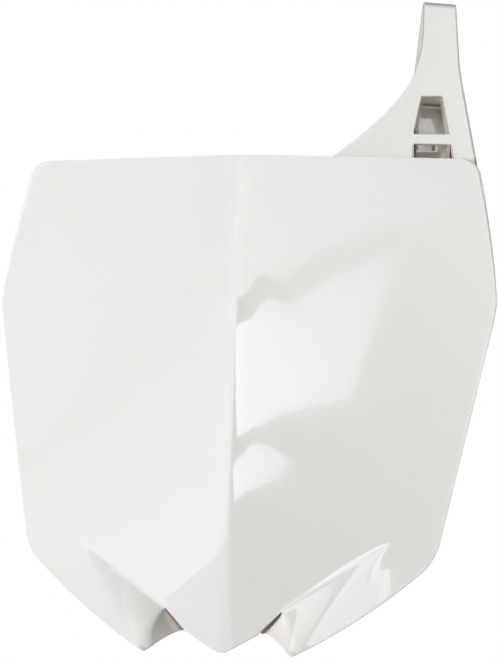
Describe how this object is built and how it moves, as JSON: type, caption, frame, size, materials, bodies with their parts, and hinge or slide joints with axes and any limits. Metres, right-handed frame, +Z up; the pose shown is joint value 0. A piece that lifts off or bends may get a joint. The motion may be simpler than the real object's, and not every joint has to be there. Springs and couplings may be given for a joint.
{
  "type": "racing number board",
  "caption": "Blank white front number board for an off-road motorcycle: ridged thin shell with flared lower gills, a handlebar strap loop and a rear bolt shelf.",
  "frame": {"origin": "axis of the lower bolt hole at the shelf's top face", "axes": "+Z up along the centre ridge, -Y forward (the face that carries the number), +X towards the viewer's right, the side with the strap"},
  "size_m": [0.2352, 0.0695, 0.316],
  "materials": {
    "white_plastic": "glossy moulded polypropylene"
  },
  "bodies": {
    "root": {"number_board": "white_plastic"}
  },
  "joints": []
}
